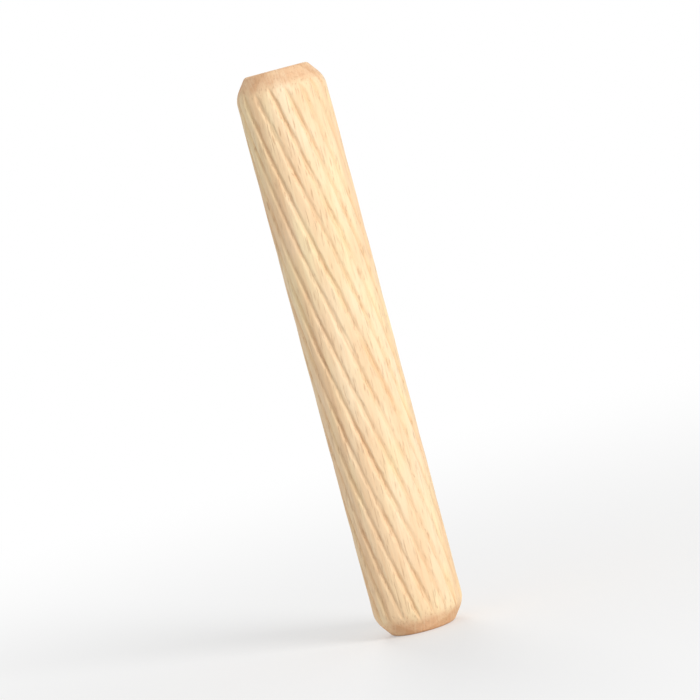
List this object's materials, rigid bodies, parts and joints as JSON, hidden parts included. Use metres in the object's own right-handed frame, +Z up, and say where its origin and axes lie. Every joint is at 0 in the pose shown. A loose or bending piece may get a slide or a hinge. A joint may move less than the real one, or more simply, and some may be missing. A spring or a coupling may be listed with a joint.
{
  "type": "spiral fluted wooden dowel pin",
  "caption": "Round wooden dowel pin with left-hand spiral glue flutes and bevelled ends, for locating and gluing wood joints.",
  "frame": {"origin": "centre of the bottom end face, on the pin's axis; the pin stands on that face", "axes": "+Z up along the pin's axis, from the bottom end face to the top one; X and Y across it, alike"},
  "size_m": [0.008, 0.008, 0.05],
  "materials": {
    "beech": "bare, planed beech with fine grain"
  },
  "bodies": {
    "root": {"dowel_pin": "beech"}
  },
  "joints": []
}
